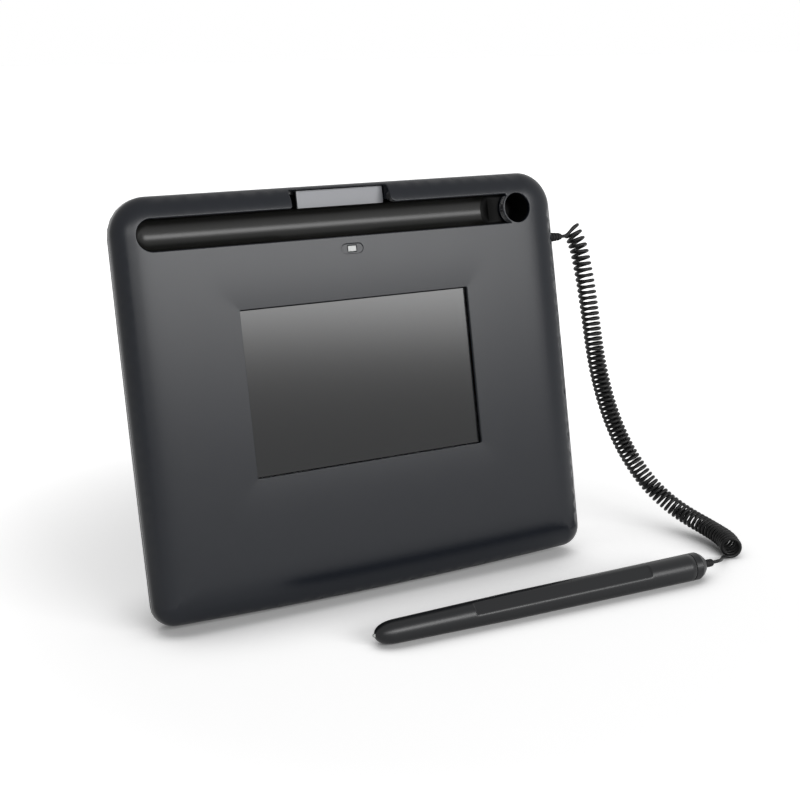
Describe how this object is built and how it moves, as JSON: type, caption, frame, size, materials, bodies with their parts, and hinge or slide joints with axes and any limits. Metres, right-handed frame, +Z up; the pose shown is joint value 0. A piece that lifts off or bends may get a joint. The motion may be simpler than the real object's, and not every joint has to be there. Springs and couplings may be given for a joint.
{
  "type": "signature pad",
  "caption": "Desk signature pad that leans back on a fold-out stand, with a display window, a pen tray with a round pen holder, and a pen on a curly cord.",
  "frame": {"origin": "on the floor, at the middle of the flat underside of the strip that the pad stands on", "axes": "+Z up; +X along the pad's width, to the right as seen from its front; the pad faces -Y and leans back towards +Y"},
  "size_m": [0.2775, 0.1165, 0.1756],
  "materials": {
    "cover_plastic": "satin",
    "rear_plastic": "fine texture",
    "gloss_black": "polished",
    "window_glass": "clear, anti-glare",
    "panel_glass": "smooth",
    "grey_plate": "satin",
    "clear_lens": "frosted",
    "soft_rubber": "matte",
    "bright_steel": "satin",
    "circuit_board": "solder mask",
    "chip_black": "matte",
    "white_plastic": "matte",
    "copper_foil": "satin",
    "pen_plastic": "satin",
    "cord_rubber": "satin"
  },
  "bodies": {
    "pad": {"front_cover": "cover_plastic", "rear_cover": "rear_plastic", "glass_gasket": "soft_rubber", "cover_glass": "window_glass", "display_panel": "panel_glass", "display_frame": "white_plastic", "display_ribbon": "copper_foil", "ribbon_socket": "white_plastic", "sensor_board": "circuit_board", "shield_plate": "bright_steel", "pen_tray": "gloss_black", "pen_cup": "gloss_black", "name_plate": "grey_plate", "light_lens": "clear_lens", "status_led": "clear_lens", "light_board": "circuit_board", "main_board": "circuit_board", "controller_chip": "chip_black", "data_socket": "bright_steel", "lead_connector": "white_plastic", "inner_lead": "cord_rubber", "cord_gland": "soft_rubber", "cover_screw_1": "bright_steel", "cover_screw_2": "bright_steel", "cover_screw_3": "bright_steel", "cover_screw_4": "bright_steel", "cover_screw_5": "bright_steel", "cover_screw_6": "bright_steel", "rear_foot_1": "soft_rubber", "rear_foot_2": "soft_rubber", "rear_foot_3": "soft_rubber", "rear_foot_4": "soft_rubber", "base_strip": "soft_rubber", "stand_pin_left": "bright_steel", "stand_pin_right": "bright_steel", "curly_cord": "cord_rubber"},
    "stand": {"stand_leg": "rear_plastic", "stand_foot": "soft_rubber"},
    "pen": {"pen_barrel": "pen_plastic", "pen_nose": "pen_plastic", "pen_end_cap": "pen_plastic", "pen_relief": "soft_rubber", "pen_coil": "copper_foil", "pressure_sensor": "bright_steel", "pen_board": "circuit_board"},
    "nib": {"pen_nib": "clear_lens"}
  },
  "joints": [
    {"name": "stand_hinge", "type": "hinge", "parent": "pad", "child": "stand", "pos_m": [0, 0.03262, 0.14454], "axis": [-1, 0, 0], "range_deg": [0, 17]},
    {"name": "pen_lift", "type": "slide", "parent": "pad", "child": "pen", "axis": [0, 0, 1], "range_m": [0, 0.05]},
    {"name": "nib_travel", "type": "slide", "parent": "pen", "child": "nib", "axis": [0.9996, -0.0297, 0.0038], "range_m": [0, 0.0004], "stiffness_N_per_m": 2000, "springref_m": -0.0002}
  ]
}
